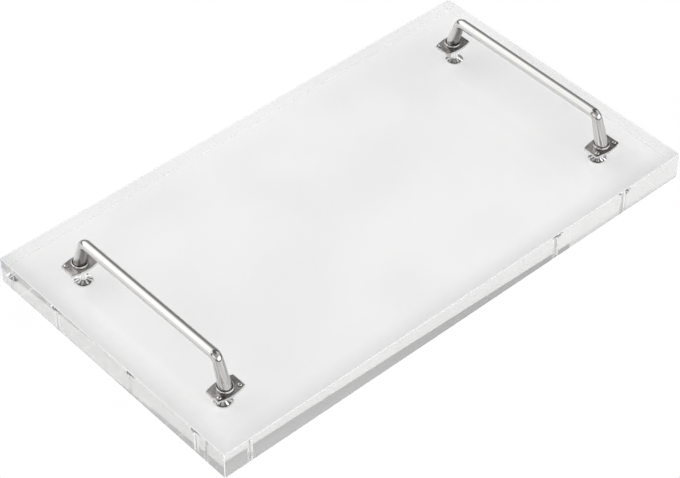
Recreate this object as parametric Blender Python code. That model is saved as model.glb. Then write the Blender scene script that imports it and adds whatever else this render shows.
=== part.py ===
"""A dresser vanity tray: a thick clear acrylic slab with a bent rod handle near each end.

Each handle leg stands on a small base plate inside a collar ring, and a countersunk screw in a
cup washer holds it from below. Units are metres, +Z is up, X runs along the slab, and the origin
is at the middle of the slab's underside.
"""

from math import cos, pi, radians, sin, sqrt, tan

import bmesh
import bpy
from mathutils import Vector

# Slab
SLAB_LENGTH = 0.4572
SLAB_WIDTH = 0.2565
SLAB_THICKNESS = 0.024
SLAB_EDGE_BREAK = 0.0004

# Handles
HANDLE_INSET = 0.0394  # from the slab's end to the middle of a handle
SCREW_SPACING = 0.16  # between the two screws of a handle
FOOT_SPACING = 0.1656  # between the middles of its two feet, which stand wider than the screws
BAR_HEIGHT = 0.0284  # from the slab's top to the middle of the bar
BAR_RADIUS = 0.0042
LEG_FOOT_RADIUS = 0.0053
LEG_LEAN = radians(16.8)  # from upright, towards the middle of the bar
BEND_RADIUS = 0.0055  # of the rod's middle line
ROD_SIDES = 24
BEND_STEPS = 7

# Base plates
PLATE_LENGTH = 0.0252
PLATE_END_WIDTH = 0.0132
PLATE_BULGE = 0.0024  # how far each long edge bows out at its middle
PLATE_THICKNESS = 0.002
PLATE_BEVEL = 0.0006
PLATE_ARC_STEPS = 10

# Collars
COLLAR_RADIUS = 0.0067
COLLAR_HEIGHT = 0.0019
COLLAR_WALL_SHARE = 0.45  # of the height, straight below the rounded top
COLLAR_TOP_STEPS = 5
COLLAR_SIDES = 24

# Pins in the base plates
PIN_HEAD_RADIUS = 0.0018
PIN_HEAD_HEIGHT = 0.0009
PIN_SHANK_RADIUS = 0.0008
PIN_SPREAD = 0.0094  # along the slab, each side of the foot's middle
PIN_OFFSET = 0.0045  # from the foot's middle, away from the middle of the bar
PIN_DOME_STEPS = 4
PIN_SIDES = 12
PLATE_HOLE_SIDES = 12

# Screws and cup washers
SCREW_RADIUS = 0.002
SCREW_HEAD_RADIUS = 0.004
SCREW_GRIP = 0.008  # length inside the leg
SCREW_TIP_CHAMFER = 0.0005
SCREW_SIDES = 20
RECESS_DEPTH = 0.0012
RECESS_SPAN = 0.0042
RECESS_SLOT = 0.0009
SLAB_HOLE_RADIUS = 0.0025
SINK_RADIUS = 0.0071  # of the countersink, at the underside
WASHER_WALL = 0.001
WASHER_TOP_LEDGE = 0.0005  # the width of its flat top face
WASHER_BORE_RADIUS = 0.0024
WASHER_SIDES = 32

GAP = 0.0003  # between pieces that touch
OVERCUT = 0.002  # how far a cutter runs past the face it opens
SHARP_ANGLE = radians(35)  # edges that turn more than this stay sharp
BEVEL_ANGLE = radians(30)  # edges that turn more than this are bevelled
MERGE_DISTANCE = 1e-6
ACRYLIC_IOR = 1.49

HANDLE_SIDES = {"left": -1, "right": 1}
LEG_ENDS = {"front": -1, "back": 1}

# Heights that stack up from the slab
PLATE_BASE = SLAB_THICKNESS + GAP
PLATE_TOP = PLATE_BASE + PLATE_THICKNESS
LEG_BASE = PLATE_TOP + GAP
COLLAR_BASE = PLATE_TOP + GAP
BAR_Z = SLAB_THICKNESS + BAR_HEIGHT
BEND_TANGENT = BEND_RADIUS * tan((pi / 2 - LEG_LEAN) / 2)
LEG_RISE = BAR_Z - LEG_BASE - BEND_TANGENT * cos(LEG_LEAN)  # up to where the bend starts
SCREW_HOLE_RADIUS = SCREW_RADIUS + GAP
SCREW_HOLE_DEPTH = SCREW_GRIP + 2 * GAP
CONE_GAP = GAP * sqrt(2)  # the radial gap that leaves GAP between two 90 degree cones

MATERIALS = {
    "clear_acrylic": {"colour": (0.97, 0.98, 0.98), "roughness": 0.02, "metallic": 0.0, "clear": True},
    "brushed_nickel": {"colour": (0.66, 0.65, 0.62), "roughness": 0.26, "metallic": 1.0},
    "plate_nickel": {"colour": (0.42, 0.40, 0.38), "roughness": 0.34, "metallic": 1.0},
    "polished_nickel": {"colour": (0.74, 0.73, 0.70), "roughness": 0.14, "metallic": 1.0},
    "zinc_steel": {"colour": (0.62, 0.63, 0.64), "roughness": 0.22, "metallic": 1.0},
}


def clear_scene():
    for thing in list(bpy.data.objects):
        bpy.data.objects.remove(thing, do_unlink=True)


def make_material(name):
    """The Principled material that MATERIALS describes under this name."""
    if name in bpy.data.materials:
        return bpy.data.materials[name]
    wanted = MATERIALS[name]
    material = bpy.data.materials.new(name)
    material.use_nodes = True
    shader = material.node_tree.nodes["Principled BSDF"]
    shader.inputs["Base Color"].default_value = (*wanted["colour"], 1.0)
    shader.inputs["Roughness"].default_value = wanted["roughness"]
    shader.inputs["Metallic"].default_value = wanted["metallic"]
    if wanted.get("clear"):
        shader.inputs["Transmission Weight"].default_value = 1.0
        shader.inputs["IOR"].default_value = ACRYLIC_IOR
    return material


def add_object(name, bm, material_name=None, sharp_angle=SHARP_ANGLE):
    """Turns a bmesh into an object in the scene, shaded smooth between its sharp edges."""
    bmesh.ops.recalc_face_normals(bm, faces=bm.faces)
    mesh = bpy.data.meshes.new(name)
    bm.to_mesh(mesh)
    bm.free()
    mesh.shade_smooth()
    mesh.set_sharp_from_angle(angle=sharp_angle)
    thing = bpy.data.objects.new(name, mesh)
    bpy.context.collection.objects.link(thing)
    if material_name:
        mesh.materials.append(make_material(material_name))
    return thing


def add_cutter(name, bm):
    """A closed shape that only cuts others."""
    cutter = add_object(name, bm)
    cutter.hide_render = True
    cutter.display_type = "WIRE"
    return cutter


def cut(thing, cutter):
    boolean = thing.modifiers.new(cutter.name, "BOOLEAN")
    boolean.operation = "DIFFERENCE"
    boolean.solver = "EXACT"
    boolean.object = cutter


def round_edges(thing, width, segments=1):
    bevel = thing.modifiers.new("edges", "BEVEL")
    bevel.width = width
    bevel.segments = segments
    bevel.limit_method = "ANGLE"
    bevel.angle_limit = BEVEL_ANGLE


def ring(centre, radius_x, radius_y, sides, turn=1):
    """Points around a level ellipse. With turn -1 it starts the same way and runs the other way."""
    angles = [2 * pi * step / sides for step in range(sides)]
    offsets = [Vector((radius_x * cos(a), -turn * radius_y * sin(a), 0)) for a in angles]
    return [Vector(centre) + offset for offset in offsets]


def skin(rings, closed=False):
    """A closed mesh over rings that have equally many points: a loop of rings, or capped ends."""
    bm = bmesh.new()
    rows = [[bm.verts.new(point) for point in points] for points in rings]
    count = len(rows[0])
    pairs = list(zip(rows, rows[1:]))
    if closed:
        pairs.append((rows[-1], rows[0]))
    else:
        bm.faces.new(rows[0])
        bm.faces.new(rows[-1])
    for lower, upper in pairs:
        for i in range(count):
            j = (i + 1) % count
            bm.faces.new((lower[i], lower[j], upper[j], upper[i]))
    return bm


def turned(profile, sides):
    """Spins a closed outline of (radius, height) points about Z."""
    bm = bmesh.new()
    corners = [bm.verts.new((radius, 0, height)) for radius, height in profile]
    edges = [bm.edges.new(pair) for pair in zip(corners, corners[1:] + corners[:1])]
    bmesh.ops.spin(
        bm, geom=corners + edges, cent=(0, 0, 0), axis=(0, 0, 1), angle=2 * pi, steps=sides, use_merge=True
    )
    bmesh.ops.remove_doubles(bm, verts=bm.verts, dist=MERGE_DISTANCE)
    on_axis = [e for e in bm.edges if all(abs(v.co.x) + abs(v.co.y) < MERGE_DISTANCE for v in e.verts)]
    bmesh.ops.delete(bm, geom=on_axis, context="EDGES")
    return bm


def leg_radius(rise):
    """The leg's radius at a height above its foot."""
    share = min(max(rise / LEG_RISE, 0), 1)
    return LEG_FOOT_RADIUS + (BAR_RADIUS - LEG_FOOT_RADIUS) * share


def leg_sites(spacing):
    """Yields each leg's name, a place in X and Y, and which way in Y its handle's outside is.

    With FOOT_SPACING the place is the foot's middle, and with SCREW_SPACING it is the screw's.
    """
    for side, x_sign in HANDLE_SIDES.items():
        for end, y_sign in LEG_ENDS.items():
            x = x_sign * (SLAB_LENGTH / 2 - HANDLE_INSET)
            yield f"{side}_{end}", x, y_sign * spacing / 2, y_sign


def box(size_x, size_y, size_z, centre=(0, 0, 0)):
    bm = bmesh.new()
    bmesh.ops.create_cube(bm, size=1)
    bmesh.ops.scale(bm, vec=(size_x, size_y, size_z), verts=bm.verts)
    bmesh.ops.translate(bm, vec=centre, verts=bm.verts)
    return bm


def make_slab():
    """The acrylic slab, with a countersunk hole under each leg."""
    middle = (0, 0, SLAB_THICKNESS / 2)
    slab = add_object("acrylic_slab", box(SLAB_LENGTH, SLAB_WIDTH, SLAB_THICKNESS, middle), "clear_acrylic")
    round_edges(slab, SLAB_EDGE_BREAK)
    sink_depth = SINK_RADIUS - SLAB_HOLE_RADIUS
    outline = [
        (0, -OVERCUT),
        (SINK_RADIUS + OVERCUT, -OVERCUT),
        (SLAB_HOLE_RADIUS, sink_depth),
        (SLAB_HOLE_RADIUS, SLAB_THICKNESS + OVERCUT),
        (0, SLAB_THICKNESS + OVERCUT),
    ]
    for site, x, y, _ in leg_sites(SCREW_SPACING):
        drill = add_cutter(f"cutter_slab_hole_{site}", turned(outline, WASHER_SIDES))
        drill.location = (x, y, 0)
        cut(slab, drill)


def handle_stations():
    """The rod's middle line in the handle's own YZ plane, as (place, direction, radius) triples.

    It runs from the top of the front leg's foot, over both bends, to the back leg's.
    """
    up_leg = Vector((0, sin(LEG_LEAN), cos(LEG_LEAN)))
    foot = Vector((0, -FOOT_SPACING / 2, LEG_BASE))
    corner = foot + up_leg * ((BAR_Z - LEG_BASE) / up_leg.z)
    hub = corner + Vector((0, BEND_TANGENT, -BEND_RADIUS))
    half = []
    for step in range(BEND_STEPS + 1):
        angle = pi - LEG_LEAN - (pi / 2 - LEG_LEAN) * step / BEND_STEPS
        outward = Vector((0, cos(angle), sin(angle)))
        half.append((hub + outward * BEND_RADIUS, Vector((0, sin(angle), -cos(angle))), BAR_RADIUS))
    flip = Vector((1, -1, 1))
    turn_back = Vector((1, 1, -1))
    mirrored = [(place * flip, direction * turn_back, radius) for place, direction, radius in reversed(half)]
    return half + mirrored


def rod_ring(place, direction, radius):
    """Points around the rod, square to its direction."""
    across = Vector((0, -direction.z, direction.y))
    angles = [2 * pi * step / ROD_SIDES for step in range(ROD_SIDES)]
    return [place + Vector((radius * cos(a), 0, 0)) + across * (radius * sin(a)) for a in angles]


def make_handle(side, x_sign):
    """One bent rod with tapered legs, and a tapped hole up each foot."""
    tread = LEG_FOOT_RADIUS / cos(LEG_LEAN)  # a leaning leg's level cut is longer along Y
    ends = []
    for turn in LEG_ENDS.values():
        foot = Vector((0, turn * FOOT_SPACING / 2, LEG_BASE))
        mouth = Vector((0, turn * SCREW_SPACING / 2, LEG_BASE))
        hole_end = mouth + Vector((0, 0, SCREW_HOLE_DEPTH))
        hole = (SCREW_HOLE_RADIUS, SCREW_HOLE_RADIUS, ROD_SIDES, -turn)
        sole = ring(foot, LEG_FOOT_RADIUS, tread, ROD_SIDES, -turn)
        ends.append([ring(hole_end, *hole), ring(mouth, *hole), sole])
    front, back = ends
    rings = front + [rod_ring(*station) for station in handle_stations()] + back[::-1]
    handle = add_object(f"handle_rod_{side}", skin(rings), "brushed_nickel")
    handle.location.x = x_sign * (SLAB_LENGTH / 2 - HANDLE_INSET)


def plate_outline():
    """The base plate's outline: straight ends joined by two bowed edges."""
    half_length = PLATE_LENGTH / 2
    arc_radius = (half_length**2 + PLATE_BULGE**2) / (2 * PLATE_BULGE)
    arc_centre = PLATE_END_WIDTH / 2 + PLATE_BULGE - arc_radius
    stations = [half_length * (2 * step / PLATE_ARC_STEPS - 1) for step in range(PLATE_ARC_STEPS + 1)]
    far_edge = [(x, arc_centre + sqrt(arc_radius**2 - x**2)) for x in stations]
    near_edge = [(x, -y) for x, y in reversed(far_edge)]
    return far_edge + near_edge


def make_plate(site, x, y, y_sign):
    """A base plate with a hole for the screw and one for each pin."""
    bm = bmesh.new()
    face = bm.faces.new([bm.verts.new((px, py, 0)) for px, py in plate_outline()])
    lifted = bmesh.ops.extrude_face_region(bm, geom=[face])["geom"]
    top = [part for part in lifted if isinstance(part, bmesh.types.BMVert)]
    bmesh.ops.translate(bm, vec=(0, 0, PLATE_THICKNESS), verts=top)
    plate = add_object(f"base_plate_{site}", bm, "plate_nickel")
    plate.location = (x, y, PLATE_BASE)
    round_edges(plate, PLATE_BEVEL)
    holes = [(x, y_sign * SCREW_SPACING / 2, SCREW_HOLE_RADIUS)]
    holes += [(px, py, PIN_SHANK_RADIUS + GAP) for px, py in pin_places(x, y, y_sign)]
    height = PLATE_THICKNESS + 2 * OVERCUT
    for number, (hole_x, hole_y, radius) in enumerate(holes):
        cylinder = bmesh.new()
        bmesh.ops.create_cone(
            cylinder, cap_ends=True, segments=PLATE_HOLE_SIDES, radius1=radius, radius2=radius, depth=height
        )
        drill = add_cutter(f"cutter_plate_{site}_{number}", cylinder)
        drill.location = (hole_x, hole_y, PLATE_BASE + PLATE_THICKNESS / 2)
        cut(plate, drill)


def pin_places(x, y, y_sign):
    return [(x + sign * PIN_SPREAD, y + y_sign * PIN_OFFSET) for sign in (-1, 1)]


def make_pins(site, x, y, y_sign):
    """Two domed pins, pressed into the base plate from above."""
    underside = PLATE_TOP + GAP
    shank_base = PLATE_BASE + GAP
    dome = []
    for step in range(PIN_DOME_STEPS + 1):
        angle = pi / 2 * step / PIN_DOME_STEPS
        dome.append((PIN_HEAD_RADIUS * cos(angle), underside + PIN_HEAD_HEIGHT * sin(angle)))
    dome[-1] = (0, underside + PIN_HEAD_HEIGHT)
    outline = [(0, shank_base), (PIN_SHANK_RADIUS, shank_base), (PIN_SHANK_RADIUS, underside)] + dome
    for number, (pin_x, pin_y) in enumerate(pin_places(x, y, y_sign), start=1):
        pin = add_object(f"plate_pin_{site}_{number}", turned(outline, PIN_SIDES), "polished_nickel")
        pin.location = (pin_x, pin_y, 0)


def make_collar(site, x, y, y_sign):
    """A ring with a rounded top, whose hole leans with the leg."""

    def hole_ring(height):
        radius = leg_radius(height) + GAP
        inward = -y_sign * height * tan(LEG_LEAN)
        return ring((x, y + inward, COLLAR_BASE + height), radius, radius / cos(LEG_LEAN), COLLAR_SIDES)

    def outer_ring(height):
        return ring((x, y, COLLAR_BASE + height), COLLAR_RADIUS, COLLAR_RADIUS, COLLAR_SIDES)

    wall = COLLAR_HEIGHT * COLLAR_WALL_SHARE
    rings = [outer_ring(0), outer_ring(wall)]
    for step in range(1, COLLAR_TOP_STEPS):
        share = step / COLLAR_TOP_STEPS
        height = wall + (COLLAR_HEIGHT - wall) * sin(pi * share)
        pairs = zip(outer_ring(height), hole_ring(height))
        rings.append([outer.lerp(inner, (1 - cos(pi * share)) / 2) for outer, inner in pairs])
    rings += [hole_ring(wall), hole_ring(0)]
    add_object(f"collar_ring_{site}", skin(rings, closed=True), "polished_nickel")


def washer_cone(height):
    """The radius of a cup washer's outer cone at a height."""
    return SINK_RADIUS - CONE_GAP - height


def make_washer(site, x, y):
    """A cone-shaped cup washer that fills the slab's countersink."""
    wall = WASHER_WALL * sqrt(2)
    top = washer_cone(0) - WASHER_BORE_RADIUS - WASHER_TOP_LEDGE
    throat = washer_cone(0) - wall - WASHER_BORE_RADIUS
    outline = [
        (washer_cone(GAP), GAP),
        (washer_cone(top), top),
        (WASHER_BORE_RADIUS, top),
        (WASHER_BORE_RADIUS, throat),
        (washer_cone(GAP) - wall, GAP),
    ]
    washer = add_object(f"cup_washer_{site}", turned(outline, WASHER_SIDES), "zinc_steel")
    washer.location = (x, y, 0)


def make_screw(site, x, y):
    """A countersunk screw with a cross recess, its head in the cup washer."""
    seat = washer_cone(0) - WASHER_WALL * sqrt(2) - CONE_GAP
    head_face = seat - SCREW_HEAD_RADIUS
    neck = seat - SCREW_RADIUS
    tip = LEG_BASE + SCREW_GRIP
    outline = [
        (0, head_face),
        (SCREW_HEAD_RADIUS, head_face),
        (SCREW_RADIUS, neck),
        (SCREW_RADIUS, tip - SCREW_TIP_CHAMFER),
        (SCREW_RADIUS - SCREW_TIP_CHAMFER, tip),
        (0, tip),
    ]
    screw = add_object(f"screw_{site}", turned(outline, SCREW_SIDES), "zinc_steel")
    screw.location = (x, y, 0)
    slot_middle = head_face + (RECESS_DEPTH - OVERCUT) / 2
    for name, size in {"along": (RECESS_SPAN, RECESS_SLOT), "across": (RECESS_SLOT, RECESS_SPAN)}.items():
        slot = add_cutter(f"cutter_recess_{name}_{site}", box(*size, RECESS_DEPTH + OVERCUT))
        slot.location = (x, y, slot_middle)
        cut(screw, slot)


def main():
    clear_scene()
    make_slab()
    for side, x_sign in HANDLE_SIDES.items():
        make_handle(side, x_sign)
    for site, x, y, y_sign in leg_sites(FOOT_SPACING):
        make_plate(site, x, y, y_sign)
        make_pins(site, x, y, y_sign)
        make_collar(site, x, y, y_sign)
    for site, x, y, _ in leg_sites(SCREW_SPACING):
        make_washer(site, x, y)
        make_screw(site, x, y)


main()
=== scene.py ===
"""Looks for a dresser vanity tray: clear acrylic slab, brushed nickel handles, studio stage."""

from math import cos, pi, radians, sin, sqrt, tan

import bmesh
import bpy
from mathutils import Matrix, Vector


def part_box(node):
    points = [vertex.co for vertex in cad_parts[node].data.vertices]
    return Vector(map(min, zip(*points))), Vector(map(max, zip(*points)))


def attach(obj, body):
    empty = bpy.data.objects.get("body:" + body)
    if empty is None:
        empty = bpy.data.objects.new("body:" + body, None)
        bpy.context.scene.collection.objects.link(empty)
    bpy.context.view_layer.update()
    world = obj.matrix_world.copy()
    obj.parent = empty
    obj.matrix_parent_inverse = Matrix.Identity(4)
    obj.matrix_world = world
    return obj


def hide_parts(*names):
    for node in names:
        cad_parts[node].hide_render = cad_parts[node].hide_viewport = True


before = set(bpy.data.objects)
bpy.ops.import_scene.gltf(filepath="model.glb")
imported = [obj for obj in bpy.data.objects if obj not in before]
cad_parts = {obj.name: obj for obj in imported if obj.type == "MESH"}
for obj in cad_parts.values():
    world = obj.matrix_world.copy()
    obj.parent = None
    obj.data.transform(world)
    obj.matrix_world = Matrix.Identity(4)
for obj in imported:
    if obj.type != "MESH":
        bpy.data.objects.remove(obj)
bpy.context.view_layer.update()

HANDLES = ("left", "right")
SITES = ("left_front", "left_back", "right_front", "right_back")

# Camera
CAMERA_AZIMUTH = radians(-41.9749)
CAMERA_ELEVATION = radians(44.0555)
CAMERA_ROLL = radians(0.026)
CAMERA_DISTANCE = 1.81347
CAMERA_TARGET = Vector((-0.012228, -0.005298, 0.0))
CAMERA_LENS = 127.03
SENSOR_WIDTH = 36.0
CLIP_START = 0.05
CLIP_END = 50.0

# Floor
FLOOR_HALF = 6.0
FLOOR_GAP = 0.0002
FLOOR_COLOUR = 0.9
FLOOR_ROUGHNESS = 0.9
FLOOR_LIFT = 0.289

# Studio: the kind of each light or dark shape, the numbers that its own function takes, and its
# brightness. Angles are in degrees, and azimuth runs from +X towards +Y. A shape covers the ones
# before it.
BACKDROP = 1.0
STUDIO_LEVEL = 0.62
STUDIO = (
    ("horizon", (0.28, 0.12), 0.08),                # sines of elevation, outer and inner
    ("arch", (0.02, 0.34, 0.1), 0.12),              # parts of +Y, low, high and softness
    ("lobe", (0, 90, 10, 32), 0.14),                # azimuth, elevation, inner and outer radius
    ("box", (147, 5, 12, 16, 0.12), 1.25),          # azimuth, elevation, half sides, softness
    ("box", (118, 42, 32, 23, 0.26), 1.7),
    ("box", (192, 20, 18, 13, 0.12), 1.7),
    ("lobe", (141, 45, 3, 9), 0.8),
    ("box", (-79, 25, 40, 16, 0.06), 2.0),
    ("box", (-17, 38, 12, 12, 0.1), 1.3),
    ("lobe", (38, 20, 4, 34), 0.28),
)
BOX_NEAREST = 0.02                                  # a box shows only on its own side of the tray

# Cycles
BOUNCES = 40
DIFFUSE_BOUNCES = 4

# Acrylic
ACRYLIC_IOR = 1.478
ACRYLIC_TINT = (0.932, 0.932, 0.93, 1.0)
ACRYLIC_TINT_LOW = (0.89, 0.89, 0.889, 1.0)
ACRYLIC_VOLUME = (0.5, 0.5, 0.48, 1.0)
ACRYLIC_DENSITY = 0.7
WAVE_HEIGHT = 0.001
CLOUD_SCALE = 11.0
CLOUD_SPAN = (0.35, 0.65)
# Painted shade: a darker tint on the flat faces along the slab's front and left edges
NEAR_SHADE_TINT = (0.74, 0.74, 0.738, 1.0)
NEAR_SHADE_REACH = 0.02
FLAT_SPAN = (0.9, 0.95)

CLEAR_WAVES = (20.0, 20.0, 20.0)
CLEAR_STRENGTH = 0.012
SUNK_ROUGHNESS = 0.01
SUNK_WAVES = (200.0, 200.0, 200.0)
SUNK_STRENGTH = 0.02

# Drilled shafts: frosted, with a stripe of painted shade down the middle of each side that shows
FROST_CLEARNESS = 0.4
FROST_ROUGHNESS = 0.25
# Painted light: how strongly frosted acrylic glows, in proportion to how far it falls short of clear
FROST_GLOW = 0.25
FROST_WAVES = (60.0, 60.0, 900.0)
FROST_STRENGTH = 0.1
STRIPE_AZIMUTHS = (248, 204)
# Painted shade: the colour of the darker stripes on a shaft's wall
STRIPE_SHADE = (0.45, 0.45, 0.445, 1.0)
STRIPE_INNER = radians(4)
STRIPE_OUTER = radians(18)

# Broken edges of the slab, which glow a little as a painted highlight
EDGE_COLOUR = 0.9
EDGE_ROUGHNESS = 0.4
EDGE_GLOW = 0.12
EDGE_GRAIN = 300.0
EDGE_STRENGTH = 0.2
EDGE_HEIGHT = 0.0005

# Metals. A grain stretches the UV map, which runs along a rod or round a turned piece.
METAL_HEIGHT = 0.0002
METAL_SPAN = (0.38, 0.62)
ROUGH_SPAN = (0.3, 0.7)
LINE_DETAIL = 4.0
LINE_ROUGHNESS = 0.6
BLOTCH_SCALE = 90.0
BLOTCH_SHARE = 0.6
PLATE_DARK = (0.17, 0.162, 0.155, 1.0)
PLATE_LIGHT = (0.66, 0.64, 0.62, 1.0)
PLATE_ROUGHNESS = (0.14, 0.28)
PLATE_GRAIN = (300.0, 2200.0, 1.0)
PLATE_STRENGTH = 0.35
POLISHED_DARK = (0.58, 0.57, 0.555, 1.0)
POLISHED_LIGHT = (0.7, 0.69, 0.675, 1.0)
POLISHED_ROUGHNESS = (0.06, 0.12)
ZINC_DARK = (0.86, 0.86, 0.85, 1.0)
ZINC_LIGHT = (0.95, 0.95, 0.94, 1.0)
ZINC_ROUGHNESS = (0.04, 0.1)
TURNED_GRAIN = (3000.0, 60.0, 1.0)
TURNED_STRENGTH = 0.06

ROD_DARK = (0.61, 0.605, 0.59, 1.0)
ROD_LIGHT = (0.67, 0.665, 0.65, 1.0)
# Dark streaks up the legs: part brushing grain, part painted reflection on the faces that look along Y
ROD_BRUSH_AND_REFLECTION_STREAK = (0.4, 0.39, 0.38, 1.0)
# Painted shade on the rod faces that look inwards along Y and down
ROD_SHADE_DARK = (0.1, 0.097, 0.093, 1.0)
ROD_SHADE_LIGHT = (0.32, 0.312, 0.3, 1.0)
ROD_ROUGHNESS = (0.09, 0.14)
ROD_GRAIN = (60.0, 2500.0, 1.0)
ROD_STREAKS = (12.0, 420.0, 1.0)
ROD_STRENGTH = 0.05
ROD_SPAN = (0.35, 0.65)
STREAK_SPAN = (0.42, 0.6)
SHADE_NOISE_SPAN = (0.4, 0.6)
LEG_SPAN = (0.1, 0.6)                               # how far a face looks along Y, on a leg
INWARD_SHADE_SPAN = (0.004, 0.09)                         # how far it looks along Y and down

WASHER_BRIGHT = (0.95, 0.95, 0.94, 1.0)
# Painted shade in the valleys between the flutes, and a painted gap shadow round the rim
WASHER_VALLEY_SHADE = (0.22, 0.217, 0.213, 1.0)
WASHER_RIM_SHADOW = (0.04, 0.04, 0.04, 1.0)
WASHER_RIM_SHADOW_SPAN = (0.0019, 0.0028)
VALLEY_SPAN = (0.3, -0.6)

# Slab and its holes
SLAB_BEVEL = 0.0004
SLAB_BEVEL_STEPS = 2
SINK_RADIUS = 0.0071
HOLE_RADIUS = 0.0025
HOLE_SIDES = 96
CUT_PAST = 0.002

# Rod
BAR_RADIUS = 0.0042
LEG_FOOT_RADIUS = 0.0053
LEG_LEAN = radians(16.8)
BEND_RADIUS = 0.0055
ROD_SIDES = 72
BEND_STEPS = 28
LEG_STEPS = 10
BAR_STEPS = 24

# Plates, collars and pins
PLATE_BULGE = 0.0024
PLATE_CORNER = 0.0009
PLATE_CORNER_STEPS = 5
PLATE_ARC_STEPS = 32
PLATE_RIM = 0.0006
PLATE_RIM_STEPS = 5
PLATE_CROWN = 0.00025
PLATE_TOP_STEPS = 12
COLLAR_WALL_SHARE = 0.35
COLLAR_STEPS = 14
COLLAR_SIDES = 72
LEG_TAPER = 0.046
GAP = 0.0003
PIN_HEAD_HEIGHT = 0.0009
PIN_RIM = 0.0002
PIN_SHANK = 0.0008
PIN_DOME_SHARE = 0.94
PIN_TIP_SHARE = 0.02
PIN_STEPS = 8
PIN_SIDES = 40

# Washers and screws
WASHER_WALL = 0.001
WASHER_BORE = 0.0024
WASHER_SIDES = 144
WASHER_STEPS = 8
WASHER_FLUTES = 8
WASHER_FLUTE = 0.00025
LIP = 0.0001
SCREW_RADIUS = 0.002
SCREW_SIDES = 48
SCREW_TIP = 0.0005
HEAD_EDGE = 0.0002
RECESS_SPAN = 0.0042
RECESS_SLOT = 0.0009
RECESS_DEPTH = 0.0012
RECESS_TAPER = 0.75

# Edges sharper than these stay sharp
SLAB_SHARP = radians(20)
WASHER_SHARP = radians(30)
LOOSE_SHARP = radians(35)
PLATE_SHARP = radians(40)
ROD_SHARP = radians(50)

RING_STEP = 0.001


# ---------------------------------------------------------------- nodes

class Nodes:
    """Short calls for building a node tree."""

    def __init__(self, tree):
        self.tree = tree
        tree.nodes.clear()

    def add(self, kind, **settings):
        """A new node. Each setting names an input socket or else a property."""
        node = self.tree.nodes.new(kind)
        for key, value in settings.items():
            if key in node.inputs:
                node.inputs[key].default_value = value
            else:
                setattr(node, key, value)
        return node

    def link(self, source, target):
        self.tree.links.new(source, target)

    def put(self, target, value):
        """Links value if it is a socket, and sets it otherwise."""
        if isinstance(value, bpy.types.NodeSocket):
            self.link(value, target)
        else:
            target.default_value = value

    def maths(self, operation, a, b=None):
        node = self.add("ShaderNodeMath", operation=operation)
        self.put(node.inputs[0], a)
        if b is not None:
            self.put(node.inputs[1], b)
        return node.outputs[0]

    def vector(self, operation, a, b):
        node = self.add("ShaderNodeVectorMath", operation=operation)
        self.put(node.inputs[0], a)
        self.put(node.inputs[1], b)
        return node.outputs["Value" if operation == "DOT_PRODUCT" else "Vector"]

    def split(self, vector):
        """The X, Y and Z of a vector."""
        node = self.add("ShaderNodeSeparateXYZ")
        self.link(vector, node.inputs[0])
        return node.outputs

    def ramp(self, value, low, high, to_low, to_high, smooth=False):
        """Maps low..high to to_low..to_high and holds the ends."""
        node = self.add("ShaderNodeMapRange", interpolation_type="SMOOTHSTEP" if smooth else "LINEAR")
        self.put(node.inputs[0], value)
        for socket, number in zip(node.inputs[1:5], (low, high, to_low, to_high)):
            self.put(socket, number)
        return node.outputs[0]

    def noise(self, where, scale, detail=3.0, roughness=0.5):
        node = self.add("ShaderNodeTexNoise", Scale=scale, Detail=detail, Roughness=roughness)
        self.link(where, node.inputs["Vector"])
        return node.outputs["Fac"]

    def stretched_noise(self, where, scale, detail=2.0, roughness=0.5):
        return self.noise(self.vector("MULTIPLY", where, scale), 1.0, detail, roughness)

    def brushed(self, where, grain):
        return self.stretched_noise(where, grain, LINE_DETAIL, LINE_ROUGHNESS)

    def mix(self, factor, a, b):
        """Blends two colours."""
        node = self.add("ShaderNodeMix", data_type="RGBA")
        self.put(node.inputs[0], factor)
        self.put(node.inputs[6], a)
        self.put(node.inputs[7], b)
        return node.outputs[2]

    def mix_level(self, factor, a, b):
        """Blends two plain numbers."""
        node = self.add("ShaderNodeMix", data_type="FLOAT")
        self.put(node.inputs[0], factor)
        self.put(node.inputs[2], a)
        self.put(node.inputs[3], b)
        return node.outputs[0]

    def bump(self, height, strength, distance):
        node = self.add("ShaderNodeBump", Strength=strength, Distance=distance)
        self.link(height, node.inputs["Height"])
        return node.outputs["Normal"]

    def normal(self):
        return self.add("ShaderNodeNewGeometry").outputs["Normal"]

    def in_object(self):
        return self.add("ShaderNodeTexCoord").outputs["Object"]

    def brush_map(self):
        return self.add("ShaderNodeUVMap", uv_map="Brush").outputs["UV"]


def new_material(name, **settings):
    """A material with one Principled shader, and its tree, shader and output node."""
    material = bpy.data.materials.new(name)
    material.use_nodes = True
    tree = Nodes(material.node_tree)
    output = tree.add("ShaderNodeOutputMaterial")
    shader = tree.add("ShaderNodeBsdfPrincipled")
    for socket, value in settings.items():
        shader.inputs[socket.replace("_", " ")].default_value = value
    tree.link(shader.outputs[0], output.inputs["Surface"])
    return material, tree, shader, output


def grey(level):
    return (level, level, level, 1.0)


def aim(azimuth, elevation):
    """The direction with that azimuth, from +X towards +Y, and elevation, in degrees."""
    a, e = radians(azimuth), radians(elevation)
    return Vector((cos(a) * cos(e), sin(a) * cos(e), sin(e)))


# ---------------------------------------------------------------- materials

def let_light_through(tree, shader, output):
    """Lamps reach what lies under the acrylic, which Cycles' glass would leave in shadow."""
    clear = tree.add("ShaderNodeBsdfTransparent").outputs[0]
    path = tree.add("ShaderNodeLightPath")
    surface = shader.outputs[0]
    for kind in ("Is Shadow Ray", "Is Diffuse Ray"):
        mix = tree.add("ShaderNodeMixShader")
        tree.link(path.outputs[kind], mix.inputs[0])
        tree.link(surface, mix.inputs[1])
        tree.link(clear, mix.inputs[2])
        surface = mix.outputs[0]
    tree.link(surface, output.inputs["Surface"])


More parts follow.
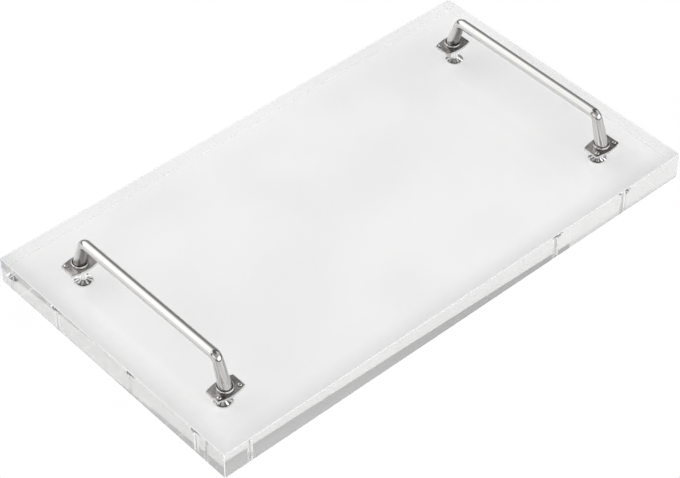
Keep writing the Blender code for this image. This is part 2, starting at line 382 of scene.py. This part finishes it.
def near_shade_weight(tree, where):
    """Where painted shade darkens the acrylic: 1 on the flat faces along the slab's front and left edges,
    falling to 0 further in.
    """
    place = tree.split(where)
    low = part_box("acrylic_slab")[0]
    near = [
        tree.ramp(place[axis], low[axis], low[axis] + NEAR_SHADE_REACH, 1.0, 0.0, smooth=True)
        for axis in (0, 1)
    ]
    level = tree.maths("ABSOLUTE", tree.split(tree.normal())["Z"])
    flat = tree.ramp(level, *FLAT_SPAN, 0.0, 1.0)
    return tree.maths("MULTIPLY", tree.maths("MAXIMUM", *near), flat)


def acrylic_material(name, roughness, waves, strength, clearness=1.0, stripes=()):
    """Clear cast acrylic with a barely wavy surface. Below full clearness it is frosted white and glows a
    little, as painted light.

    A shaft's wall gets painted shade along upright stripes, given by the azimuths they face.
    """
    material, tree, shader, output = new_material(
        name,
        Transmission_Weight=clearness,
        Emission_Color=grey(1.0),
        # Painted light: frosted acrylic glows a little so that it shows whiter
        Emission_Strength=FROST_GLOW * (1 - clearness),
        Roughness=roughness,
        IOR=ACRYLIC_IOR,
    )
    where = tree.in_object()
    cloudy = tree.ramp(tree.noise(where, CLOUD_SCALE, 1.0), *CLOUD_SPAN, 0.0, 1.0, smooth=True)
    tint = tree.mix(cloudy, ACRYLIC_TINT_LOW, ACRYLIC_TINT)
    # Painted shade along the slab's front and left edges
    tint = tree.mix(near_shade_weight(tree, where), tint, NEAR_SHADE_TINT)
    # Painted shade: darker upright stripes on a shaft's wall, by the way it faces
    for azimuth in stripes:
        facing = tree.maths("ABSOLUTE", tree.vector("DOT_PRODUCT", tree.normal(), aim(azimuth, 0)))
        stripe = tree.ramp(facing, cos(STRIPE_OUTER), cos(STRIPE_INNER), 0.0, 1.0, smooth=True)
        tint = tree.mix(stripe, tint, STRIPE_SHADE)
    tree.link(tint, shader.inputs["Base Color"])
    height = tree.stretched_noise(where, waves)
    tree.link(tree.bump(height, strength, WAVE_HEIGHT), shader.inputs["Normal"])
    let_light_through(tree, shader, output)
    absorb = tree.add("ShaderNodeVolumeAbsorption", Color=ACRYLIC_VOLUME, Density=ACRYLIC_DENSITY)
    tree.link(absorb.outputs[0], output.inputs["Volume"])
    return material


def edge_material():
    """The acrylic's broken edges, white and rough, with a faint glow that paints them as fine bright lines.
    """
    material, tree, shader, _ = new_material(
        "acrylic_edges",
        Base_Color=grey(EDGE_COLOUR),
        Roughness=EDGE_ROUGHNESS,
        Emission_Color=grey(1.0),
        # Painted highlight: the edges glow a little
        Emission_Strength=EDGE_GLOW,
    )
    height = tree.noise(tree.in_object(), EDGE_GRAIN)
    tree.link(tree.bump(height, EDGE_STRENGTH, EDGE_HEIGHT), shader.inputs["Normal"])
    return material


def metal_material(name, dark, light, roughness, grain, strength):
    """Metal with fine brushed lines and soft blotches."""
    material, tree, shader, _ = new_material(name, Metallic=1.0)
    lines = tree.brushed(tree.brush_map(), grain)
    blotches = tree.noise(tree.in_object(), BLOTCH_SCALE, 2.0)
    both = tree.maths(
        "ADD",
        tree.maths("MULTIPLY", lines, 1 - BLOTCH_SHARE),
        tree.maths("MULTIPLY", blotches, BLOTCH_SHARE),
    )
    share = tree.ramp(both, *METAL_SPAN, 0.0, 1.0)
    tree.link(tree.mix(share, dark, light), shader.inputs["Base Color"])
    tree.link(tree.ramp(both, *ROUGH_SPAN, *roughness), shader.inputs["Roughness"])
    tree.link(tree.bump(lines, strength, METAL_HEIGHT), shader.inputs["Normal"])
    return material


def washer_material():
    """Bright steel, with a painted gap shadow round the rim and painted shade in the valleys between the
    flutes.
    """
    material, tree, shader, _ = new_material("washer_steel", Metallic=1.0)
    where = tree.brush_map()
    along, turn, _ = tree.split(where)
    # Painted shade in the flute valleys, and a painted gap shadow at the rim
    crest = tree.maths("COSINE", tree.maths("MULTIPLY", turn, 2 * pi * WASHER_FLUTES))
    valley_shade = tree.ramp(crest, *VALLEY_SPAN, 0.0, 1.0, smooth=True)
    fluted = tree.mix(valley_shade, WASHER_BRIGHT, WASHER_VALLEY_SHADE)
    rim = tree.ramp(along, *WASHER_RIM_SHADOW_SPAN, 1.0, 0.0, smooth=True)
    tree.link(tree.mix(rim, fluted, WASHER_RIM_SHADOW), shader.inputs["Base Color"])
    lines = tree.brushed(where, TURNED_GRAIN)
    tree.link(tree.ramp(lines, *ROUGH_SPAN, *ZINC_ROUGHNESS), shader.inputs["Roughness"])
    tree.link(tree.bump(lines, TURNED_STRENGTH, METAL_HEIGHT), shader.inputs["Normal"])
    return material


def rod_material():
    """Brushed nickel for the rods, with dark streaks up the legs that are part brushing and part painted
    reflection, and painted shade on the sides that face inwards.
    """
    material, tree, shader, _ = new_material("brushed_nickel", Metallic=1.0)
    where = tree.brush_map()
    lines = tree.brushed(where, ROD_GRAIN)
    streaks = tree.stretched_noise(where, ROD_STREAKS)
    normal = tree.split(tree.normal())
    sideways = tree.maths("ABSOLUTE", normal["Y"])
    on_leg = tree.ramp(sideways, *LEG_SPAN, 0.0, 1.0, smooth=True)
    # Painted shade on faces that look along Y and down, the insides of the bends and legs
    inward = tree.maths("MULTIPLY", sideways, tree.maths("MULTIPLY", normal["Z"], -1.0))
    inside = tree.ramp(inward, *INWARD_SHADE_SPAN, 0.0, 1.0, smooth=True)
    plain = tree.mix(tree.ramp(lines, *ROD_SPAN, 0.0, 1.0), ROD_DARK, ROD_LIGHT)
    # Dark streaks on the legs, part brushing grain and part painted reflection
    brush_and_reflection_streak = tree.maths("MULTIPLY", tree.ramp(streaks, *STREAK_SPAN, 1.0, 0.0), on_leg)
    streaked = tree.mix(brush_and_reflection_streak, plain, ROD_BRUSH_AND_REFLECTION_STREAK)
    shaded = tree.mix(tree.ramp(streaks, *SHADE_NOISE_SPAN, 0.0, 1.0), ROD_SHADE_DARK, ROD_SHADE_LIGHT)
    tree.link(tree.mix(inside, streaked, shaded), shader.inputs["Base Color"])
    tree.link(tree.ramp(lines, *ROUGH_SPAN, *ROD_ROUGHNESS), shader.inputs["Roughness"])
    tree.link(tree.bump(lines, ROD_STRENGTH, METAL_HEIGHT), shader.inputs["Normal"])
    return material


# ---------------------------------------------------------------- meshes

def loose_object(name, bm, materials, sharp=LOOSE_SHARP):
    """Turns a bmesh into an object, smooth apart from edges sharper than the angle given."""
    bmesh.ops.recalc_face_normals(bm, faces=bm.faces)
    mesh = bpy.data.meshes.new(name)
    bm.to_mesh(mesh)
    bm.free()
    mesh.shade_smooth()
    mesh.set_sharp_from_angle(angle=sharp)
    for material in materials:
        mesh.materials.append(material)
    piece = bpy.data.objects.new(name, mesh)
    bpy.context.collection.objects.link(piece)
    return piece


def add_piece(name, bm, materials, node, sharp=LOOSE_SHARP):
    """An object that rides on the part's only body and stands for a CAD node."""
    piece = loose_object(name, bm, materials, sharp)
    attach(piece, "root")
    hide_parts(node)
    return piece


def cut(piece, cutters, **settings):
    """Takes the cutters out of the piece, applies all its modifiers and deletes the cutters."""
    for cutter in cutters:
        boolean = piece.modifiers.new(cutter.name, "BOOLEAN")
        boolean.operation = "DIFFERENCE"
        boolean.solver = "EXACT"
        boolean.object = cutter
        for key, value in settings.items():
            setattr(boolean, key, value)
    evaluated = piece.evaluated_get(bpy.context.evaluated_depsgraph_get())
    mesh = bpy.data.meshes.new_from_object(evaluated)
    piece.modifiers.clear()
    piece.data = mesh
    for cutter in cutters:
        bpy.data.objects.remove(cutter, do_unlink=True)


def skin(rings, closed=False, along=None, around=1.0):
    """A mesh over rings of equally many points. Its UV map runs along it and round it.

    The last ring joins the first if closed, and otherwise both ends are capped.
    """
    bm = bmesh.new()
    uv = bm.loops.layers.uv.new("Brush")
    rows = [[bm.verts.new(point) for point in points] for points in rings]
    count = len(rows[0])
    along = along or [RING_STEP * i for i in range(len(rows))]
    pairs = [(k, k + 1) for k in range(len(rows) - 1)]
    if closed:
        pairs.append((len(rows) - 1, 0))
    else:
        for k in (0, len(rows) - 1):
            face = bm.faces.new(rows[k])
            for loop in face.loops:
                loop[uv].uv = (loop.vert.co.x, loop.vert.co.y)
    for k, after in pairs:
        start = along[k]
        end = along[after] if after else start + RING_STEP
        for i in range(count):
            j = (i + 1) % count
            face = bm.faces.new((rows[k][i], rows[k][j], rows[after][j], rows[after][i]))
            corners = ((start, i), (start, i + 1), (end, i + 1), (end, i))
            for loop, (u, v) in zip(face.loops, corners):
                loop[uv].uv = (u, around * v / count)
    return bm


def flat_map(bm):
    """Lays the UV map out flat, seen from above."""
    uv = bm.loops.layers.uv["Brush"]
    for face in bm.faces:
        for loop in face.loops:
            loop[uv].uv = (loop.vert.co.x, loop.vert.co.y + loop.vert.co.z)


def block(size, at, top_scale=1.0):
    """A box round a point, whose top may be smaller than its base."""
    bm = bmesh.new()
    bmesh.ops.create_cube(bm, size=1)
    top = [v for v in bm.verts if v.co.z > 0]
    bmesh.ops.scale(bm, vec=(top_scale, top_scale, 1), verts=top)
    bmesh.ops.scale(bm, vec=size, verts=bm.verts)
    bmesh.ops.translate(bm, vec=at, verts=bm.verts)
    return bm


def turns(sides):
    return [2 * pi * step / sides for step in range(sides)]


def ellipse(centre, radius_x, radius_y, sides):
    return [Vector(centre) + Vector((radius_x * cos(a), radius_y * sin(a), 0)) for a in turns(sides)]


def turned(profile, sides, centre):
    """Spins an outline of (radius, height) points about the upright line through centre."""
    return skin([ellipse((centre.x, centre.y, height), radius, radius, sides) for radius, height in profile])


def corners_of(node):
    """The lowest, highest and middle points of a CAD node."""
    low, high = (Vector(corner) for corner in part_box(node))
    return low, high, (low + high) / 2


# ---------------------------------------------------------------- pieces

def drill_for(site, top, sunk, frosted):
    """The shape of a screw hole: a countersink from below and a shaft through the slab."""
    _, _, at = corners_of(f"screw_{site}")
    neck = SINK_RADIUS - HOLE_RADIUS
    profile = [(SINK_RADIUS + CUT_PAST, -CUT_PAST), (HOLE_RADIUS, neck), (HOLE_RADIUS, top + CUT_PAST)]
    bm = turned(profile, HOLE_SIDES, at)
    for face in bm.faces:
        face.material_index = 1 if face.calc_center_median().z > neck else 0
    return loose_object(f"drill_{site}", bm, [sunk, frosted])


def make_slab(clear, frosted, edges, sunk):
    """The slab with its broken edges, and four screw holes of their own two materials."""
    low, high, at = corners_of("acrylic_slab")
    size = high - low
    slab = add_piece("slab", block(size, at), [clear, frosted, edges, sunk], "acrylic_slab")
    bevel = slab.modifiers.new("edges", "BEVEL")
    bevel.width = SLAB_BEVEL
    bevel.segments = SLAB_BEVEL_STEPS
    bevel.material = 2
    cut(slab, [drill_for(site, size.z, sunk, frosted) for site in SITES], material_mode="TRANSFER")
    slab.data.set_sharp_from_angle(angle=SLAB_SHARP)


def make_handle(side, material):
    """The rod, from its front sole over both bends to its back sole."""
    node = f"handle_rod_{side}"
    low, high, at = corners_of(node)
    bar_z = high.z - BAR_RADIUS
    foot_y = high.y - LEG_FOOT_RADIUS / cos(LEG_LEAN)
    tangent = BEND_RADIUS * tan((pi / 2 - LEG_LEAN) / 2)
    up = Vector((0, sin(LEG_LEAN), cos(LEG_LEAN)))
    foot = Vector((at.x, -foot_y, low.z))
    corner = foot + up * ((bar_z - low.z) / up.z)
    bend_start = corner - up * tangent
    hub = corner + Vector((0, tangent, -BEND_RADIUS))

    # A station is a place on the rod's middle line, the way it runs there and its radius.
    half = []
    for step in range(1, LEG_STEPS):
        share = step / LEG_STEPS
        place = foot.lerp(bend_start, share)
        half.append((place, up, LEG_FOOT_RADIUS + (BAR_RADIUS - LEG_FOOT_RADIUS) * share))
    for step in range(BEND_STEPS + 1):
        angle = pi - LEG_LEAN - (pi / 2 - LEG_LEAN) * step / BEND_STEPS
        outward = Vector((0, cos(angle), sin(angle)))
        half.append((hub + outward * BEND_RADIUS, Vector((0, sin(angle), -cos(angle))), BAR_RADIUS))
    last = half[-1][0]
    bar = []
    for step in range(1, BAR_STEPS):
        place = Vector((at.x, last.y * (1 - 2 * step / BAR_STEPS), bar_z))
        bar.append((place, Vector((0, 1, 0)), BAR_RADIUS))
    flip = Vector((1, -1, 1))
    turn = Vector((1, 1, -1))
    stations = half + bar + [(place * flip, way * turn, radius) for place, way, radius in reversed(half)]

    def band(place, way, radius):
        across = Vector((0, -way.z, way.y))
        return [
            place + Vector((radius * cos(a), 0, 0)) + across * (radius * sin(a))
            for a in turns(ROD_SIDES)
        ]

    tread = LEG_FOOT_RADIUS / cos(LEG_LEAN)
    sole = [foot + Vector((LEG_FOOT_RADIUS * cos(a), -tread * sin(a), 0)) for a in turns(ROD_SIDES)]
    rings = [sole] + [band(*station) for station in stations] + [[point * flip for point in sole]]
    along, reach = [0.0], 0.0
    places = [foot] + [station[0] for station in stations] + [foot * flip]
    for one, two in zip(places, places[1:]):
        reach += (two - one).length
        along.append(reach)
    bm = skin(rings, along=along, around=2 * pi * BAR_RADIUS)
    add_piece(f"handle_{side}", bm, [material], node, ROD_SHARP)


def plate_outline(half_length, half_width, bulge, corner):
    """The base plate's outline about its middle: straight ends, bowed long edges, eased corners."""
    arc_radius = (half_length**2 + bulge**2) / (2 * bulge)
    arc_middle = half_width + bulge - arc_radius
    edge = []
    for step in range(PLATE_ARC_STEPS + 1):
        x = (half_length - corner) * (2 * step / PLATE_ARC_STEPS - 1)
        edge.append(Vector((x, arc_middle + sqrt(arc_radius**2 - x**2), 0)))
    start = edge[-1]
    end = Vector((half_length, start.y - corner, 0))
    knee = Vector((half_length, start.y, 0))
    right = []
    for step in range(1, PLATE_CORNER_STEPS + 1):
        share = step / PLATE_CORNER_STEPS
        right.append(start.lerp(knee, share).lerp(knee.lerp(end, share), share))
    left = [Vector((-p.x, p.y, 0)) for p in reversed(right)]
    half = left + edge + right
    return half + [Vector((-p.x, -p.y, 0)) for p in half]


def make_plate(site, top, rim):
    """A base plate with a rounded bright rim and a barely crowned top."""
    node = f"base_plate_{site}"
    low, high, at = corners_of(node)
    half_length = (high.x - low.x) / 2
    half_width = (high.y - low.y) / 2 - PLATE_BULGE
    outline = plate_outline(half_length, half_width, PLATE_BULGE, PLATE_CORNER)

    def ring_at(inset, height):
        scale = Vector((1 - inset / half_length, 1 - inset / (half_width + PLATE_BULGE / 2), 1))
        return [Vector((at.x, at.y, height)) + p * scale for p in outline]

    rings = [ring_at(PLATE_RIM / 3, low.z), ring_at(0, low.z + PLATE_RIM / 3)]
    shoulder = high.z - PLATE_CROWN
    for step in range(PLATE_RIM_STEPS + 1):
        angle = pi / 2 * step / PLATE_RIM_STEPS
        rings.append(ring_at(PLATE_RIM * (1 - cos(angle)), shoulder - PLATE_RIM * (1 - sin(angle))))
    for step in range(1, PLATE_TOP_STEPS):
        share = step / PLATE_TOP_STEPS
        inset = PLATE_RIM + (half_width - 2 * PLATE_RIM) * share
        rings.append(ring_at(inset, high.z - PLATE_CROWN * (1 - share) ** 2))
    bm = skin(rings)
    flat_map(bm)
    for face in bm.faces:
        if min(v.co.z for v in face.verts) < shoulder - PLATE_RIM / 2:
            face.material_index = 1
    add_piece(f"plate_{site}", bm, [top, rim], node, PLATE_SHARP)


def make_collar(site, material):
    """A bead round the leg's foot, whose hole leans with the leg."""
    node = f"collar_ring_{site}"
    low, high, at = corners_of(node)
    radius = (high.x - low.x) / 2
    tall = high.z - low.z
    inward = -1 if at.y > 0 else 1

    def hole(height):
        inside = LEG_FOOT_RADIUS - LEG_TAPER * height + GAP
        lean = inward * height * tan(LEG_LEAN)
        return ellipse((at.x, at.y + lean, low.z + height), inside, inside / cos(LEG_LEAN), COLLAR_SIDES)

    def outside(height):
        return ellipse((at.x, at.y, low.z + height), radius, radius, COLLAR_SIDES)

    wall = tall * COLLAR_WALL_SHARE
    rings = [outside(0), outside(wall)]
    for step in range(1, COLLAR_STEPS):
        turn = pi * step / COLLAR_STEPS
        height = wall + (tall - wall) * sin(turn)
        pairs = zip(outside(height), hole(height))
        rings.append([outer.lerp(inner, (1 - cos(turn)) / 2) for outer, inner in pairs])
    rings += [hole(wall), hole(0)]
    add_piece(f"collar_{site}", skin(rings, closed=True), [material], node)


def make_pin(site, number, material):
    """A domed pin head in a shallow turned ring, on its shank."""
    node = f"plate_pin_{site}_{number}"
    low, high, at = corners_of(node)
    radius = (high.x - low.x) / 2
    under = high.z - PIN_HEAD_HEIGHT
    dome = PIN_HEAD_HEIGHT - PIN_RIM
    profile = [(PIN_SHANK, low.z), (PIN_SHANK, under), (radius, under), (radius, under + PIN_RIM)]
    for step in range(1, PIN_STEPS):
        angle = pi / 2 * step / PIN_STEPS
        profile.append((radius * PIN_DOME_SHARE * cos(angle), under + PIN_RIM + dome * sin(angle)))
    profile.append((radius * PIN_TIP_SHARE, high.z))
    bm = turned(profile, PIN_SIDES, at)
    add_piece(f"pin_{site}_{number}", bm, [material], node)


def make_washer(site, material):
    """A pressed cup washer in the slab's countersink, with shallow flutes round its cone."""
    node = f"cup_washer_{site}"
    low, high, at = corners_of(node)
    radius = (high.x - low.x) / 2
    tall = high.z - low.z
    wall = WASHER_WALL * sqrt(2)
    throat = radius - wall - WASHER_BORE
    outline = [(radius - wall / 2, low.z), (radius, low.z + LIP)]
    for step in range(1, WASHER_STEPS + 1):
        outline.append((radius - tall * step / WASHER_STEPS, low.z + tall * step / WASHER_STEPS))
    outline += [(WASHER_BORE, high.z), (WASHER_BORE, low.z + throat), (radius - wall, low.z)]
    rings = []
    for number, (r, z) in enumerate(outline):
        on_cone = 2 <= number < 1 + WASHER_STEPS
        ring = []
        for a in turns(WASHER_SIDES):
            dip = WASHER_FLUTE * (1 - cos(WASHER_FLUTES * a)) / 2 if on_cone else 0.0
            ring.append(Vector((at.x + (r - dip) * cos(a), at.y + (r - dip) * sin(a), z)))
        rings.append(ring)
    bm = skin(rings, closed=True)
    add_piece(f"washer_{site}", bm, [material], node, WASHER_SHARP)


def make_screw(site, material):
    """A countersunk screw with a cross recess under its head."""
    node = f"screw_{site}"
    low, high, at = corners_of(node)
    head = (high.x - low.x) / 2
    neck = low.z + head - SCREW_RADIUS
    profile = [(head - HEAD_EDGE, low.z), (head, low.z + LIP), (SCREW_RADIUS, neck)]
    profile += [(SCREW_RADIUS, high.z - SCREW_TIP), (SCREW_RADIUS - SCREW_TIP, high.z)]
    screw = add_piece(f"bolt_{site}", turned(profile, SCREW_SIDES, at), [material], node)
    foot = Vector((at.x, at.y, low.z))
    slots = []
    for size in ((RECESS_SPAN, RECESS_SLOT), (RECESS_SLOT, RECESS_SPAN)):
        bm = block((*size, 2 * RECESS_DEPTH), foot, RECESS_TAPER)
        slots.append(loose_object(f"recess_{site}", bm, [material]))
    cut(screw, slots)


# ---------------------------------------------------------------- stage

def lobe_weight(tree, way, azimuth, elevation, inner, outer):
    """1 within inner degrees of a direction, falling to 0 at outer degrees."""
    across = tree.vector("DOT_PRODUCT", way, aim(azimuth, elevation))
    return tree.ramp(across, cos(radians(outer)), cos(radians(inner)), 0.0, 1.0, smooth=True)


def horizon_weight(tree, way, outer, inner):
    """1 round the horizon, falling to 0 above and below it."""
    height = tree.maths("ABSOLUTE", tree.vector("DOT_PRODUCT", way, Vector((0, 0, 1))))
    return tree.ramp(height, outer, inner, 0.0, 1.0, smooth=True)


def arch_weight(tree, way, low, high, soft):
    """1 on a strip that crosses overhead from -X to +X, between two levels of Y."""
    across = tree.vector("DOT_PRODUCT", way, Vector((0, 1, 0)))
    front = tree.ramp(across, low - soft, low + soft, 0.0, 1.0, smooth=True)
    back = tree.ramp(across, high + soft, high - soft, 0.0, 1.0, smooth=True)
    return tree.maths("MULTIPLY", front, back)


def box_weight(tree, way, azimuth, elevation, half_width, half_height, soft):
    """1 inside a softbox seen from the tray, with soft edges."""
    ahead = aim(azimuth, elevation)
    level = aim(azimuth + 90, 0)
    upright = ahead.cross(level)
    towards = tree.vector("DOT_PRODUCT", way, ahead)
    depth = tree.maths("MAXIMUM", towards, BOX_NEAREST)
    weight = tree.maths("GREATER_THAN", towards, BOX_NEAREST)
    for axis, half in ((level, half_width), (upright, half_height)):
        across = tree.maths("ABSOLUTE", tree.maths("DIVIDE", tree.vector("DOT_PRODUCT", way, axis), depth))
        edge = tan(radians(half))
        inside = tree.ramp(across, edge + soft, edge - soft, 0.0, 1.0, smooth=True)
        weight = tree.maths("MULTIPLY", weight, inside)
    return weight


WEIGHTS = {"horizon": horizon_weight, "arch": arch_weight, "lobe": lobe_weight, "box": box_weight}


def make_world():
    """A studio of soft boxes for light and reflections. The camera itself sees a plain pale backdrop."""
    world = bpy.data.worlds.new("studio")
    bpy.context.scene.world = world
    world.use_nodes = True
    tree = Nodes(world.node_tree)
    output = tree.add("ShaderNodeOutputWorld")
    background = tree.add("ShaderNodeBackground")
    tree.link(background.outputs[0], output.inputs[0])
    way = tree.add("ShaderNodeTexCoord").outputs["Generated"]
    level = STUDIO_LEVEL
    for shape, numbers, amount in STUDIO:
        level = tree.mix_level(WEIGHTS[shape](tree, way, *numbers), level, amount)
    seen = tree.add("ShaderNodeLightPath").outputs["Is Camera Ray"]
    tree.link(tree.mix_level(seen, level, BACKDROP), background.inputs["Color"])


def make_floor():
    """A plain pale floor just under the tray, lifted so that it shows as white as the backdrop."""
    bm = bmesh.new()
    corners = [(-1, -1), (1, -1), (1, 1), (-1, 1)]
    bm.faces.new([bm.verts.new((FLOOR_HALF * x, FLOOR_HALF * y, -FLOOR_GAP)) for x, y in corners])
    mesh = bpy.data.meshes.new("floor")
    bm.to_mesh(mesh)
    bm.free()
    floor = bpy.data.objects.new("floor", mesh)
    bpy.context.collection.objects.link(floor)
    material, *_ = new_material(
        "floor",
        Base_Color=grey(FLOOR_COLOUR),
        Emission_Color=grey(1.0),
        Emission_Strength=FLOOR_LIFT,
        Roughness=FLOOR_ROUGHNESS,
        Specular_IOR_Level=0.0,
    )
    mesh.materials.append(material)


def make_camera():
    """A long lens at a three-quarter view, aimed at a point near the middle of the slab's underside."""
    a, e, r = CAMERA_AZIMUTH, CAMERA_ELEVATION, CAMERA_ROLL
    back = Vector((sin(a) * cos(e), -cos(a) * cos(e), sin(e)))
    level = Vector((cos(a), sin(a), 0))
    upright = back.cross(level)
    right = level * cos(r) + upright * sin(r)
    top = upright * cos(r) - level * sin(r)
    data = bpy.data.cameras.new("camera")
    data.sensor_width = SENSOR_WIDTH
    data.lens = CAMERA_LENS
    data.clip_start = CLIP_START
    data.clip_end = CLIP_END
    camera = bpy.data.objects.new("camera", data)
    bpy.context.collection.objects.link(camera)
    place = CAMERA_TARGET + back * CAMERA_DISTANCE
    camera.matrix_world = Matrix.Translation(place) @ Matrix((right, top, back)).transposed().to_4x4()
    bpy.context.scene.camera = camera


def set_up_render():
    """Enough bounces for light to cross the slab many times, and plain tones."""
    scene = bpy.context.scene
    scene.view_settings.view_transform = "Standard"
    scene.view_settings.look = "None"
    cycles = scene.cycles
    cycles.max_bounces = BOUNCES
    cycles.glossy_bounces = BOUNCES
    cycles.transmission_bounces = BOUNCES
    cycles.diffuse_bounces = DIFFUSE_BOUNCES
    cycles.use_denoising = True
    cycles.denoising_input_passes = "RGB_ALBEDO"


nickel = rod_material()
plate_nickel = metal_material(
    "plate_nickel", PLATE_DARK, PLATE_LIGHT, PLATE_ROUGHNESS, PLATE_GRAIN, PLATE_STRENGTH
)
polished = metal_material(
    "polished_nickel", POLISHED_DARK, POLISHED_LIGHT, POLISHED_ROUGHNESS, TURNED_GRAIN, TURNED_STRENGTH
)
zinc = metal_material(
    "zinc_steel", ZINC_DARK, ZINC_LIGHT, ZINC_ROUGHNESS, TURNED_GRAIN, TURNED_STRENGTH
)
washer_steel = washer_material()
clear = acrylic_material("clear_acrylic", 0.0, CLEAR_WAVES, CLEAR_STRENGTH)
drilled = acrylic_material(
    "drilled_acrylic", FROST_ROUGHNESS, FROST_WAVES, FROST_STRENGTH, FROST_CLEARNESS, STRIPE_AZIMUTHS
)
sunk = acrylic_material("sunk_acrylic", SUNK_ROUGHNESS, SUNK_WAVES, SUNK_STRENGTH)
edges = edge_material()

make_slab(clear, drilled, edges, sunk)
for side in HANDLES:
    make_handle(side, nickel)
for site in SITES:
    make_plate(site, plate_nickel, polished)
    make_collar(site, polished)
    for number in (1, 2):
        make_pin(site, number, polished)
    make_washer(site, washer_steel)
    make_screw(site, zinc)

make_floor()
make_world()
make_camera()
set_up_render()
